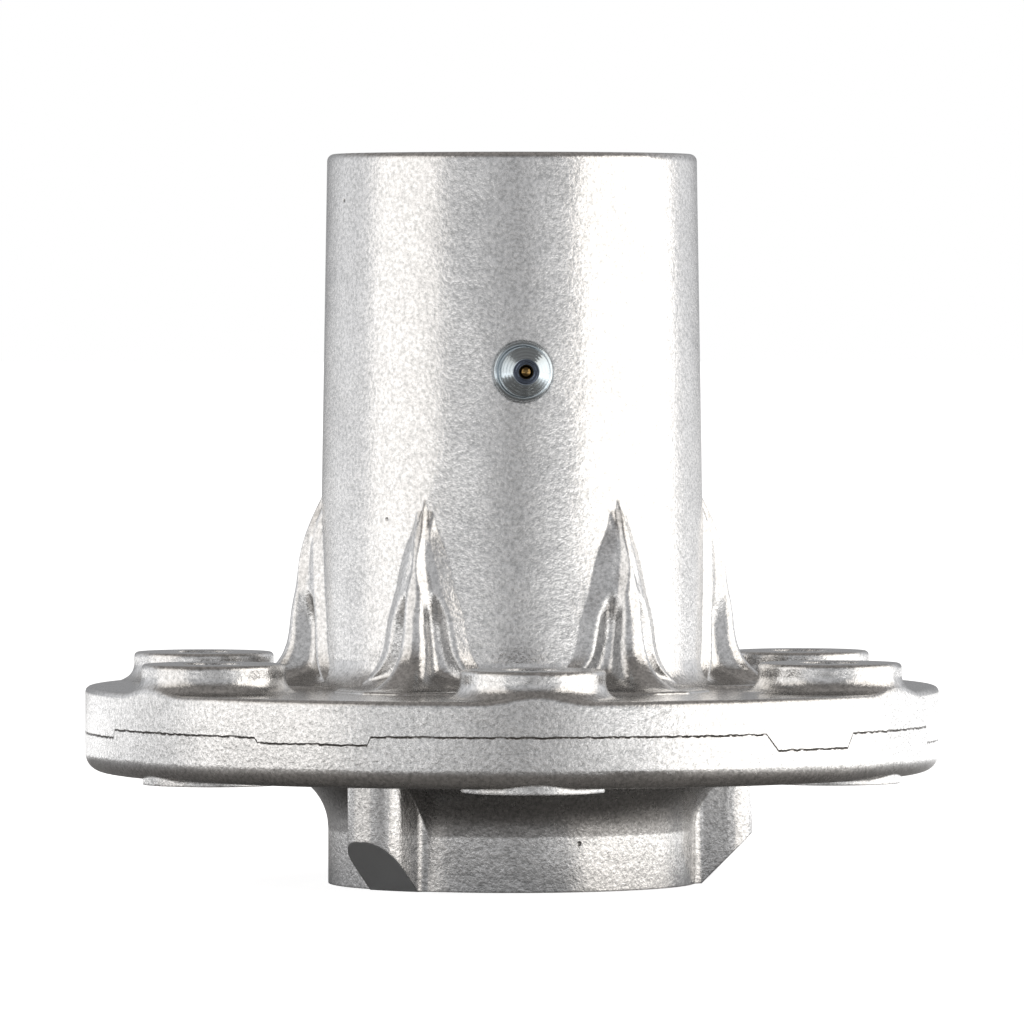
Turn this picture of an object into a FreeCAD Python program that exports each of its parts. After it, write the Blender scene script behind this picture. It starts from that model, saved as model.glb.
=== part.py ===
import FreeCAD, Part
import math
import operator
import os

import Sketcher

# Mower deck spindle: a cast aluminium housing with a grease nipple, two sealed ball bearings and
# the spacer sleeve between them. Millimetres, +Z up along the spindle axis, z = 0 at the bottom
# face of the neck that goes down through the deck. The nipple faces -Y.

SIZES = (
    ("overall_height", 100.2, "neck bottom to tube top"),
    ("tube_top_radius", 25.4, "outside of the tube at its top"),
    ("tube_base_radius", 26.6, "outside of the tube at the flange"),
    ("tube_rim_round", 1.0, "rounding of the tube's top outer edge"),
    ("tube_foot_round", 4.0, "hollow corner between tube and flange"),
    ("neck_radius", 25.3, "outside of the neck under the flange"),
    ("neck_corner_round", 8.0, "hollow corner between neck and flange"),
    ("flange_underside", 15.5, "height of the flange's lower face"),
    ("flange_thickness", 11.65, "flange rim, lower face to upper face"),
    ("flange_radius", 58.7, "outside of the flange"),
    ("flange_lower_round", 2.5, "rounding of the rim's lower edge"),
    ("flange_upper_round", 0.8, "rounding of the rim's upper edge"),
    ("boss_count", 6, "bolt bosses on the flange"),
    ("boss_circle_radius", 48.2, "bolt circle"),
    ("boss_radius", 9.9, "bolt boss"),
    ("boss_rise", 3.9, "boss top above the flange"),
    ("boss_foot_round", 2.2, "hollow corner round a boss"),
    ("boss_edge_round", 0.6, "rounding of the boss's top edge"),
    ("bolt_hole_radius", 4.2, "clearance hole for an 8 mm screw"),
    ("pad_radius", 9.6, "machined pad under a boss"),
    ("pad_depth", 0.7, "pad below the flange"),
    ("rib_peak_rise", 26.15, "rib peak above the flange"),
    ("rib_knee_rise", 15.85, "height above the flange where the crest turns steep"),
    ("rib_knee_radius", 29.5, "crest at the knee"),
    ("rib_post_radius", 30.6, "crest just above the foot"),
    ("rib_foot_round", 8.4, "hollow sweep from crest to flange"),
    ("rib_root_half_width", 6.6, "half width on the tube just above the foot sweep"),
    ("rib_side_round", 6.5, "height of the hollow sweep of the rib's side on to the flange"),
    ("rib_side_spread", 10.0, "spread of the same sweep along the flange"),
    ("rib_pocket_lift", 0.3, "floor of the pockets beside the post, off the tube"),
    ("rib_pocket_round", 3.6, "height of the sweep of a pocket on to the flange"),
    ("rib_pocket_spread", 7.0, "the same sweep, outwards"),
    ("rib_pocket_flare", 7.5, "the same sweep, sideways"),
    ("rib_pocket_top", 13.5, "height above the flange where the pockets run out"),
    ("rib_pocket_fade", 5.0, "height over which they run out"),
    ("rib_tip_half_width", 0.7, "half width on the tube at the peak"),
    ("rib_tip_sink", 0.1, "end of the crest under the tube's skin"),
    ("rib_ridge_half_width", 0.35, "half width of the ridge over the knee"),
    ("rib_post_half_width", 2.8, "half width of the crest face at the flange"),
    ("rib_skirt", 1.3, "step of the rib's side off the tube"),
    ("rib_skirt_slope", 1.6, "width of the same step"),
    ("rib_skirt_round", 0.9, "rounding of the step's edge"),
    ("rib_sink", 0.5, "how far the rib's foot goes into the flange"),
    ("rib_root_depth", 2.0, "how far the rib's root goes into the tube at the peak"),
    ("lug_half_width", 4.16, "lug on the neck"),
    ("lug_outer_radius", 33.1, "lug end from the axis"),
    ("lug_foot_round", 1.4, "hollow corner between lug and neck"),
    ("lug_cone_radius", 26.2, "machined lead-in cone at the neck's bottom face"),
    ("bearing_bore_radius", 8.5, "6203 class bearing"),
    ("bearing_outer_radius", 20.0, "6203 class bearing"),
    ("bearing_width", 12.0, "6203 class bearing"),
    ("bearing_recess", 0.8, "bearing face below the housing's end"),
    ("seat_clearance", 0.01, "radial, bearing or nipple in its hole"),
    ("cavity_radius", 18.0, "grease space between the bearings"),
    ("mouth_chamfer", 0.6, "lead-in of the bearing seats"),
    ("ball_radius", 3.37, "bearing ball"),
    ("ball_count", 8, "balls in a bearing"),
    ("ball_pitch_radius", 14.25, "ball centres"),
    ("race_clearance", 0.02, "radial, ball to groove"),
    ("inner_land_radius", 12.25, "shoulder of the inner ring"),
    ("outer_land_radius", 16.3, "shoulder of the outer ring"),
    ("seal_seat_radius", 17.5, "step in the outer ring for the seal"),
    ("ring_edge_round", 0.6, "rounding of the rings' corners"),
    ("seal_thickness", 1.1, "seal disc"),
    ("seal_dish", 0.37, "hollow in the seal's face"),
    ("seal_sink", 0.3, "seal face below the ring's face"),
    ("seal_lip_clearance", 0.2, "radial, lip to inner ring"),
    ("cage_sheet", 0.5, "sheet of the cage halves"),
    ("cage_half_band", 0.95, "half the radial width of the cage band"),
    ("cage_ball_clearance", 0.1, "radial, ball to cage pocket"),
    ("rivet_radius", 0.4, "cage rivet shank"),
    ("rivet_head_radius", 0.75, "cage rivet head"),
    ("rivet_head_height", 0.35, "cage rivet head"),
    ("sleeve_outer_radius", 11.2, "spacer sleeve"),
    ("sleeve_bore_clearance", 0.3, "sleeve bore over the bearing bore, radial"),
    ("nipple_height", 70.5, "nipple axis above the neck's bottom face"),
    ("spotface_depth", 0.42, "flat under the nipple's collar"),
    ("spotface_clearance", 0.2, "spot face over the collar, radial"),
    ("nipple_shank_radius", 3.15, "shank in the wall"),
    ("nipple_shank_length", 5.5, "shank behind the collar"),
    ("nipple_collar_radius", 3.97, "round collar"),
    ("nipple_collar_width", 1.3, "round collar"),
    ("nipple_collar_round", 0.3, "rounding of the collar's front edge"),
    ("nipple_neck_radius", 2.35, "neck behind the head"),
    ("nipple_head_radius", 3.3, "head that the grease gun grips"),
    ("nipple_head_land", 1.1, "straight part of the head"),
    ("nipple_head_cone", 1.1, "cone from the head to the nose"),
    ("nipple_head_round", 0.2, "rounding between land and cone"),
    ("nipple_nose_radius", 1.8, "flat nose"),
    ("nipple_length", 7.7, "collar back to nose"),
    ("nipple_mouth_radius", 0.85, "mouth in the nose"),
    ("nipple_mouth_chamfer", 0.15, "chamfer of the mouth"),
    ("nipple_lip", 0.4, "wall in front of the check ball"),
    ("nipple_passage_radius", 1.1, "passage behind the mouth"),
    ("nipple_passage_length", 7.0, "wide part of the passage"),
    ("nipple_outlet_radius", 0.7, "narrow part of the passage"),
    ("check_ball_radius", 0.99, "check ball"),
    ("check_ball_clearance", 0.02, "ball behind its seat"),
    ("spring_wire_radius", 0.15, "check spring wire"),
    ("spring_coil_radius", 0.75, "check spring, wire centre"),
    ("spring_pitch", 0.8, "check spring"),
)

LUG_AZIMUTHS = (0.0, 131.5, 228.5)
BOSS_DRAFT_DEGREES = 1.0
FIRST_RIB_AZIMUTH = 0.0

# Proportions of a rib: how its outline, crest and post bend, how far its skirt runs on into the
# tube, where the valley between skirt and post lies above the pockets, how thin the web behind the
# post is, how round the post's edges are, and at which levels its sections stand
SPIRE_BEND = 0.85
CREST_BEND = 1.6
SKIRT_GROWTH = 3.0
ROOT_REACH = 0.9
VALLEY_OUT = 0.2
VALLEY_ASIDE = 0.45
VALLEY_ROUND = 0.6
WEB_SHARE = 0.85
POST_BEND = 0.8
POST_ROUND = 0.75
FOOT_LEVELS = (0.0, 0.06, 0.16, 0.32, 0.6, 1.0)
KNEE_LEVELS = (0.0, 0.33, 0.66, 1.0)

CORNER_REACH = 0.45
LUG_ROOT = 0.8
TOUCH = 0.01
OVERSHOOT = 1.0
OPERATIONS = {"+": operator.add, "-": operator.sub, "*": operator.mul, "/": operator.truediv}


class Size:
    """A number together with the sheet formula that gives it."""

    def __init__(self, value, formula):
        self.value = float(value)
        self.formula = formula

    def joined(self, sign, other):
        other = sized(other)
        value = OPERATIONS[sign](self.value, other.value)
        return Size(value, f"({self.formula} {sign} {other.formula})")

    def __add__(self, other):
        return self.joined("+", other)

    def __sub__(self, other):
        return self.joined("-", other)

    def __mul__(self, other):
        return self.joined("*", other)

    def __truediv__(self, other):
        return self.joined("/", other)

    def __neg__(self):
        return sized(0) - self


def sized(number):
    """The number as a Size; a plain number is its own formula."""
    if isinstance(number, Size):
        return number
    return Size(number, repr(float(number)))


def length_of(number):
    """The plain value of a Size or a number."""
    return sized(number).value


class Sheet:
    """The driving dimensions, one alias a row, read as attributes."""

    def __init__(self, document, rows):
        self.cells = document.addObject("Spreadsheet::Sheet", "sizes")
        self.values = {}
        for row, (alias, value, note) in enumerate(rows, 1):
            self.cells.set(f"A{row}", alias)
            self.cells.set(f"B{row}", str(value))
            self.cells.set(f"C{row}", note)
            self.cells.setAlias(f"B{row}", alias)
        document.recompute()
        for alias, _, _ in rows:
            self.values[alias] = Size(getattr(self.cells, alias), f"sizes.{alias}")

    def __getattr__(self, alias):
        return self.values[alias]


document = FreeCAD.newDocument("mower_deck_spindle")
sheet = Sheet(document, SIZES)

flange_top = sheet.flange_underside + sheet.flange_thickness
boss_top = flange_top + sheet.boss_rise
cast_disc_radius = sheet.flange_radius + sheet.boss_radius + sheet.boss_foot_round * 2
lower_seat_top = sheet.bearing_recess + sheet.bearing_width
upper_seat_bottom = sheet.overall_height - lower_seat_top
lower_bearing_middle = sheet.bearing_recess + sheet.bearing_width / 2
upper_bearing_middle = sheet.overall_height - lower_bearing_middle
seat_radius = sheet.bearing_outer_radius + sheet.seat_clearance
tube_shrink = (sheet.tube_base_radius - sheet.tube_top_radius) / (sheet.overall_height - flange_top)


def tube_radius_at(height):
    """Outside radius of the drafted tube at a height above the neck's bottom face."""
    return sheet.tube_base_radius - tube_shrink * (sized(height) - flange_top)


nipple_seat_radius = tube_radius_at(sheet.nipple_height) - sheet.spotface_depth


# Helpers for bodies, sketches and features


def new_body(label):
    body = document.addObject("PartDesign::Body", label)
    body.Label = label
    return body


def origin_feature(body, role):
    return next(item for item in body.Origin.OriginFeatures if item.Role == role)


def bind(item, path, size):
    """Set a property from its formula."""
    item.setExpression(path, sized(size).formula)


def new_sketch(body, name, plane, height=0, turn=0.0):
    """A sketch on an origin plane, lifted along its normal and turned about it."""
    sketch = body.newObject("Sketcher::SketchObject", name)
    sketch.AttachmentSupport = [(origin_feature(body, plane), "")]
    sketch.MapMode = "FlatFace"
    sketch.AttachmentOffset = FreeCAD.Placement(
        FreeCAD.Vector(0, 0, length_of(height)), FreeCAD.Rotation(FreeCAD.Vector(0, 0, 1), turn)
    )
    if isinstance(height, Size):
        bind(sketch, "AttachmentOffset.Base.z", height)
    return sketch


def pin_point(sketch, geometry, position, across, up, name):
    """Tie a point of the sketch to its two coordinates."""
    for kind, size in (("DistanceX", across), ("DistanceY", up)):
        size = sized(size)
        number = sketch.addConstraint(Sketcher.Constraint(kind, -1, 1, geometry, position, size.value))
        label = f"{kind}_{name}"
        sketch.renameConstraint(number, label)
        bind(sketch, f"Constraints.{label}", size)


def outline_sketch(body, name, plane, points, height=0):
    """A closed outline of straight lines, every corner tied to the sheet."""
    sketch = new_sketch(body, name, plane, height)
    corners = [FreeCAD.Vector(length_of(x), length_of(y), 0) for x, y in points]
    count = len(corners)
    for index, corner in enumerate(corners):
        sketch.addGeometry(Part.LineSegment(corner, corners[(index + 1) % count]), False)
    for index in range(count):
        sketch.addConstraint(Sketcher.Constraint("Coincident", index, 2, (index + 1) % count, 1))
    for index, (x, y) in enumerate(points):
        pin_point(sketch, index, 1, x, y, str(index))
    return sketch


def circle_sketch(body, name, plane, centre, radius, height=0):
    """A circle, its centre and radius tied to the sheet."""
    sketch = new_sketch(body, name, plane, height)
    middle = FreeCAD.Vector(length_of(centre[0]), length_of(centre[1]), 0)
    circle = Part.Circle(middle, FreeCAD.Vector(0, 0, 1), length_of(radius))
    sketch.addGeometry(circle, False)
    pin_point(sketch, 0, 3, centre[0], centre[1], "centre")
    number = sketch.addConstraint(Sketcher.Constraint("Radius", 0, length_of(radius)))
    sketch.renameConstraint(number, "Radius_circle")
    bind(sketch, "Constraints.Radius_circle", radius)
    return sketch


def feature(body, kind, name, **settings):
    """Add a feature, make it the body's tip and set its properties."""
    item = body.newObject(f"PartDesign::{kind}", name)
    for key, value in settings.items():
        if isinstance(value, Size):
            bind(item, key, value)
        else:
            setattr(item, key, value)
    body.Tip = item
    return item


def turned(body, name, points, kind="Revolution"):
    """A full turn about Z of an outline of (radius, height) corners."""
    sketch = outline_sketch(body, f"{name}_outline", "XZ_Plane", points)
    return feature(body, kind, name, Profile=sketch, ReferenceAxis=(sketch, ["V_Axis"]), Angle=360.0)


def ring_pattern(body, name, original, count):
    """Repeat a feature round the axis."""
    axis = (origin_feature(body, "Z_Axis"), [""])
    return feature(
        body, "PolarPattern", name, Originals=[original], Axis=axis, Angle=360.0, Occurrences=sized(count)
    )


def edges_where(item, test):
    """Names of the edges of a feature that pass the test."""
    document.recompute()
    return [f"Edge{number}" for number, edge in enumerate(item.Shape.Edges, 1) if test(edge)]


def is_ring(edge, radius, height):
    """Whether an edge is part of a level circle round the axis."""
    if not isinstance(edge.Curve, Part.Circle):
        return False
    middle = edge.Curve.Center
    same_size = abs(edge.Curve.Radius - length_of(radius)) < TOUCH
    same_height = abs(middle.z - length_of(height)) < TOUCH
    return same_size and same_height and math.hypot(middle.x, middle.y) < TOUCH


def rounded(body, name, base, radius, test):
    """Round the edges of a feature that pass the test."""
    return feature(body, "Fillet", name, Base=(base, edges_where(base, test)), Radius=radius)


def corner_arc(before, corner, after, radius):
    """Tangent points and middle of the arc that rounds a corner, kept off the sides' middles."""
    first = (before - corner).normalize()
    second = (after - corner).normalize()
    half = first.getAngle(second) / 2
    reach = CORNER_REACH * min((before - corner).Length, (after - corner).Length)
    cut = min(radius / math.tan(half), reach)
    radius = cut * math.tan(half)
    bisector = (first + second).normalize()
    middle = corner + bisector * (radius / math.sin(half) - radius)
    return corner + first * cut, middle, corner + second * cut


def rounded_outline(corners):
    """Lines and arcs through (x, y, radius) corners, a radius of 0 being a sharp corner."""
    points = [FreeCAD.Vector(x, y, 0) for x, y, _ in corners]
    count = len(points)
    joints = []
    for index, (_, _, radius) in enumerate(corners):
        corner = points[index]
        if radius == 0:
            joints.append((corner, None, corner))
        else:
            joints.append(corner_arc(points[index - 1], corner, points[(index + 1) % count], radius))
    pieces = []
    for index, (start, middle, end) in enumerate(joints):
        if middle is not None:
            pieces.append(Part.Arc(start, middle, end))
        pieces.append(Part.LineSegment(end, joints[(index + 1) % count][0]))
    return pieces


# Housing: one aluminium casting, machined in the bores, the pads and the lead-in cone


def cast_core(body):
    """Neck, flange disc and drafted tube, turned solid; the disc is cast wide and trimmed later."""
    core = turned(
        body,
        "cast_core",
        [
            (0, 0),
            (sheet.neck_radius, 0),
            (sheet.neck_radius, sheet.flange_underside),
            (cast_disc_radius, sheet.flange_underside),
            (cast_disc_radius, flange_top),
            (sheet.tube_base_radius, flange_top),
            (sheet.tube_top_radius, sheet.overall_height),
            (0, sheet.overall_height),
        ],
    )
    core = rounded(
        body, "neck_corner", core, sheet.neck_corner_round,
        lambda edge: is_ring(edge, sheet.neck_radius, sheet.flange_underside),
    )
    core = rounded(
        body, "tube_foot", core, sheet.tube_foot_round,
        lambda edge: is_ring(edge, sheet.tube_base_radius, flange_top),
    )
    return rounded(
        body, "tube_rim", core, sheet.tube_rim_round,
        lambda edge: is_ring(edge, sheet.tube_top_radius, sheet.overall_height),
    )


def is_boss_edge(edge, height):
    """Whether an edge is the circle where a boss meets a level face."""
    if not isinstance(edge.Curve, Part.Circle):
        return False
    middle = edge.Curve.Center
    level = abs(middle.z - length_of(height)) < TOUCH
    return level and abs(math.hypot(middle.x, middle.y) - sheet.boss_circle_radius.value) < TOUCH


def bolt_bosses(body):
    """Six bosses, the first on -Y in front, rounded at foot and top."""
    circle = circle_sketch(
        body, "boss_circle", "XY_Plane", (0, -sheet.boss_circle_radius), sheet.boss_radius,
        sheet.flange_underside + sheet.flange_thickness / 2,
    )
    boss = feature(
        body, "Pad", "boss", Profile=circle, Length=sheet.boss_rise + sheet.flange_thickness / 2,
        TaperAngle=-BOSS_DRAFT_DEGREES,
    )
    bosses = ring_pattern(body, "bosses", boss, sheet.boss_count)
    bosses = rounded(
        body, "boss_feet", bosses, sheet.boss_foot_round, lambda edge: is_boss_edge(edge, flange_top)
    )
    return rounded(
        body, "boss_edges", bosses, sheet.boss_edge_round, lambda edge: is_boss_edge(edge, boss_top)
    )


def flange_rim(body):
    """Trim the disc and whatever flares over it to the rim, then round the rim's lower edge."""
    outer = cast_disc_radius + OVERSHOOT
    trim = turned(
        body,
        "rim_trim",
        [
            (sheet.flange_radius, sheet.flange_underside - OVERSHOOT),
            (outer, sheet.flange_underside - OVERSHOOT),
            (outer, boss_top + OVERSHOOT),
            (sheet.flange_radius, boss_top + OVERSHOOT),
        ],
        kind="Groove",
    )
    trim = rounded(
        body, "rim_lower_edge", trim, sheet.flange_lower_round,
        lambda edge: is_ring(edge, sheet.flange_radius, sheet.flange_underside),
    )
    return rounded(
        body, "rim_upper_edge", trim, sheet.flange_upper_round,
        lambda edge: is_ring(edge, sheet.flange_radius, flange_top),
    )


def swept(rise, height, spread):
    """Spread, at a rise above the flange, of a hollow quarter ellipse that runs out on to it."""
    drop = max(0, (height - rise) / height)
    return spread * (1 - math.sqrt(1 - drop * drop))


def rib_crest(rise):
    """Radius of the rib's crest, before its foot sweeps out, at a rise above the flange."""
    knee = sheet.rib_knee_rise.value
    peak = sheet.rib_peak_rise.value
    knee_radius = sheet.rib_knee_radius.value
    if rise >= knee:
        tube = tube_radius_at(flange_top + peak).value - sheet.rib_tip_sink.value
        share = ((rise - knee) / (peak - knee)) ** CREST_BEND
        return knee_radius + (tube - knee_radius) * share
    share = min((knee - rise) / (knee - sheet.rib_foot_round.value), 1)
    return knee_radius + (sheet.rib_post_radius.value - knee_radius) * share


def rib_section(rise):
    """Corners of the rib's level section: rounded post, thin web behind it, step off the tube."""
    peak = sheet.rib_peak_rise.value
    side = sheet.rib_side_round.value
    knee = sheet.rib_knee_rise.value
    tip = sheet.rib_tip_half_width.value
    ridge = sheet.rib_ridge_half_width.value
    tube = tube_radius_at(flange_top + rise).value

    down = min((peak - rise) / (peak - side), 1)
    spire = tip + (sheet.rib_root_half_width.value - tip) * down ** SPIRE_BEND
    half_post = ridge + (sheet.rib_post_half_width.value - ridge) * max(0, (knee - rise) / knee) ** POST_BEND
    growth = min(1, down * SKIRT_GROWTH)
    skirt = tube + sheet.rib_skirt.value * growth - sheet.rib_tip_sink.value * 2 * (1 - growth)
    shoulder = spire - sheet.rib_skirt_slope.value * growth
    side_sweep = swept(rise, side, sheet.rib_side_spread.value)
    half_root = spire + side_sweep
    half_skirt = shoulder + side_sweep

    edge_x = math.sqrt(tube * tube - half_root * half_root)
    skirt_x = math.sqrt(skirt * skirt - half_skirt * half_skirt)
    root_x = edge_x + (edge_x - skirt_x) * ROOT_REACH - sheet.rib_root_depth.value * (1 - growth)
    root_y = half_root + (half_root - half_skirt) * ROOT_REACH
    crest = rib_crest(rise)
    foot = sheet.rib_foot_round.value
    low = sheet.rib_pocket_round.value
    pocket = max(0, min(1, (sheet.rib_pocket_top.value - rise) / sheet.rib_pocket_fade.value))
    open_valley = half_post + VALLEY_ASIDE * (shoulder - half_post)
    valley_y = open_valley + (WEB_SHARE * half_post - open_valley) * pocket
    valley_y += swept(rise, low, sheet.rib_pocket_flare.value)
    high_valley = skirt + VALLEY_OUT * (crest - skirt)
    valley_x = high_valley + (tube + sheet.rib_pocket_lift.value - high_valley) * pocket
    valley_x += swept(rise, low, sheet.rib_pocket_spread.value)
    post_x = crest + swept(rise, foot, foot)
    half = (
        (root_x, root_y, 0),
        (skirt_x, half_skirt, sheet.rib_skirt_round.value),
        (valley_x, valley_y, VALLEY_ROUND * (post_x - valley_x)),
        (post_x, half_post, POST_ROUND * half_post),
    )
    mirrored = tuple((x, -y, radius) for x, y, radius in half)
    return half[::-1] + mirrored


def ribs(body):
    """Six buttresses from the tube down on to the flange, each lofted through level sections."""
    peak = sheet.rib_peak_rise.value
    sweep = sheet.rib_foot_round.value
    knee = sheet.rib_knee_rise.value
    low = [sweep * share for share in FOOT_LEVELS]
    high = [knee + (peak - knee) * share for share in KNEE_LEVELS]
    sections = []
    for number, rise in enumerate([-sheet.rib_sink.value] + low + [(sweep + knee) / 2] + high):
        sketch = new_sketch(body, f"rib_section_{number}", "XY_Plane", flange_top + rise, FIRST_RIB_AZIMUTH)
        sketch.addGeometry(rounded_outline(rib_section(max(rise, 0))), False)
        sections.append(sketch)
    rib = feature(body, "AdditiveLoft", "rib", Profile=sections[0], Sections=sections[1:], Ruled=False)
    return ring_pattern(body, "ribs", rib, sheet.boss_count)


def lugs(body):
    """Three round-ended lugs that key the neck into the deck, coned off at the bottom."""
    half = sheet.lug_half_width.value
    end = sheet.lug_outer_radius.value
    neck = sheet.neck_radius.value
    foot = sheet.lug_foot_round.value
    inner = neck * LUG_ROOT
    wall = math.sqrt(neck * neck - half * half)
    spread = half + foot * 2
    flare = math.sqrt(neck * neck - spread * spread)
    corners = (
        (inner, -spread, 0), (flare, -spread, 0), (wall + TOUCH, -half, foot), (end, -half, half),
        (end, half, half), (wall + TOUCH, half, foot), (flare, spread, 0), (inner, spread, 0),
    )
    for number, azimuth in enumerate(LUG_AZIMUTHS):
        sketch = new_sketch(body, f"lug_outline_{number}", "XY_Plane", 0, azimuth)
        sketch.addGeometry(rounded_outline(corners), False)
        feature(body, "Pad", f"lug_{number}", Profile=sketch, Length=sheet.flange_underside + OVERSHOOT)
    reach = sheet.lug_outer_radius - sheet.lug_cone_radius + OVERSHOOT * 2
    return turned(
        body,
        "lug_cone",
        [
            (sheet.lug_cone_radius, 0),
            (sheet.lug_cone_radius + reach, reach),
            (sheet.lug_cone_radius + reach, -sized(OVERSHOOT)),
            (sheet.lug_cone_radius, -sized(OVERSHOOT)),
        ],
        kind="Groove",
    )


def pads(body):
    """Machined round pads under the bosses, the faces that sit on the deck."""
    circle = circle_sketch(
        body, "pad_circle", "XY_Plane", (0, -sheet.boss_circle_radius), sheet.pad_radius,
        sheet.flange_underside - sheet.pad_depth,
    )
    pad = feature(body, "Pad", "pad", Profile=circle, Length=sheet.pad_depth + sheet.flange_thickness / 2)
    return ring_pattern(body, "pads", pad, sheet.boss_count)


def bearing_bores(body):
    """Both bearing seats, their lead-ins and the grease space between them."""
    wide = seat_radius + sheet.mouth_chamfer
    top = sheet.overall_height
    return turned(
        body,
        "bores",
        [
            (0, -sized(OVERSHOOT)),
            (wide, -sized(OVERSHOOT)),
            (wide, 0),
            (seat_radius, sheet.mouth_chamfer),
            (seat_radius, lower_seat_top),
            (sheet.cavity_radius, lower_seat_top),
            (sheet.cavity_radius, upper_seat_bottom),
            (seat_radius, upper_seat_bottom),
            (seat_radius, top - sheet.mouth_chamfer),
            (wide, top),
            (wide, top + OVERSHOOT),
            (0, top + OVERSHOOT),
        ],
        kind="Groove",
    )


def bolt_holes(body):
    """A screw hole through every boss."""
    circle = circle_sketch(
        body, "bolt_hole_circle", "XY_Plane", (0, -sheet.boss_circle_radius), sheet.bolt_hole_radius,
        boss_top + OVERSHOOT,
    )
    hole = feature(
        body, "Pocket", "bolt_hole", Profile=circle,
        Length=sheet.boss_rise + sheet.flange_thickness + sheet.pad_depth + OVERSHOOT * 2,
    )
    return ring_pattern(body, "bolt_holes", hole, sheet.boss_count)


def nipple_hole(body):
    """The hole for the nipple's shank and the flat that its collar sits on."""
    shank = circle_sketch(
        body, "nipple_hole_circle", "XZ_Plane", (0, sheet.nipple_height),
        sheet.nipple_shank_radius + sheet.seat_clearance,
    )
    depth = sheet.tube_base_radius + OVERSHOOT
    feature(body, "Pocket", "nipple_hole", Profile=shank, Length=depth, Reversed=True)
    flat = circle_sketch(
        body, "spotface_circle", "XZ_Plane", (0, sheet.nipple_height),
        sheet.nipple_collar_radius + sheet.spotface_clearance, nipple_seat_radius,
    )
    return feature(
        body, "Pocket", "spotface", Profile=flat, Length=sheet.spotface_depth + OVERSHOOT, Reversed=True
    )


def housing():
    body = new_body("housing")
    cast_core(body)
    bolt_bosses(body)
    flange_rim(body)
    ribs(body)
    lugs(body)
    pads(body)
    bearing_bores(body)
    bolt_holes(body)
    nipple_hole(body)
    return body


# Ball bearings, each built about its own middle and then lifted to its seat


def lifted(item, height):
    """Lift a finished sub-part along the axis."""
    bind(item, "Placement.Base.z", height)
    return item


def race_groove(body):
    """The groove that the balls run in."""
    radius = sheet.ball_radius + sheet.race_clearance
    circle = circle_sketch(body, "race_circle", "XZ_Plane", (sheet.ball_pitch_radius, 0), radius)
    return feature(
        body, "Groove", "race", Profile=circle, ReferenceAxis=(circle, ["V_Axis"]), Angle=360.0
    )


def outer_ring(label, middle):
    body = new_body(label)
    half = sheet.bearing_width / 2
    step = half - sheet.seal_sink - sheet.seal_thickness
    ring = turned(
        body,
        "ring",
        [
            (sheet.outer_land_radius, -step),
            (sheet.seal_seat_radius, -step),
            (sheet.seal_seat_radius, -half),
            (sheet.bearing_outer_radius, -half),
            (sheet.bearing_outer_radius, half),
            (sheet.seal_seat_radius, half),
            (sheet.seal_seat_radius, step),
            (sheet.outer_land_radius, step),
        ],
    )
    rounded(
        body, "corners", ring, sheet.ring_edge_round,
        lambda edge: is_ring(edge, sheet.bearing_outer_radius, half)
        or is_ring(edge, sheet.bearing_outer_radius, -half),
    )
    race_groove(body)
    return lifted(body, middle)


def inner_ring(label, middle):
    body = new_body(label)
    half = sheet.bearing_width / 2
    ring = turned(
        body,
        "ring",
        [
            (sheet.bearing_bore_radius, -half),
            (sheet.inner_land_radius, -half),
            (sheet.inner_land_radius, half),
            (sheet.bearing_bore_radius, half),
        ],
    )
    rounded(
        body, "corners", ring, sheet.ring_edge_round / 2,
        lambda edge: is_ring(edge, sheet.bearing_bore_radius, half)
        or is_ring(edge, sheet.bearing_bore_radius, -half),
    )
    race_groove(body)
    return lifted(body, middle)


def on_circle(radius, degrees):
    """A point of a circle, as two Sizes."""
    angle = math.radians(degrees)
    across = Size(radius.value * math.cos(angle), f"({radius.formula} * cos({degrees} deg))")
    along = Size(radius.value * math.sin(angle), f"({radius.formula} * sin({degrees} deg))")
    return across, along


def group(label, members, middle):
    """Separate solids that share one sub-part."""
    compound = document.addObject("Part::Compound", label)
    compound.Label = label
    compound.Links = members
    return lifted(compound, middle)


def ball_set(label, middle):
    members = []
    count = round(sheet.ball_count.value)
    for number in range(count):
        ball = document.addObject("Part::Sphere", f"{label}_{number}")
        bind(ball, "Radius", sheet.ball_radius)
        across, along = on_circle(sheet.ball_pitch_radius, number * 360 / count)
        bind(ball, "Placement.Base.x", across)
        bind(ball, "Placement.Base.y", along)
        members.append(ball)
    return group(label, members, middle)


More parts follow.
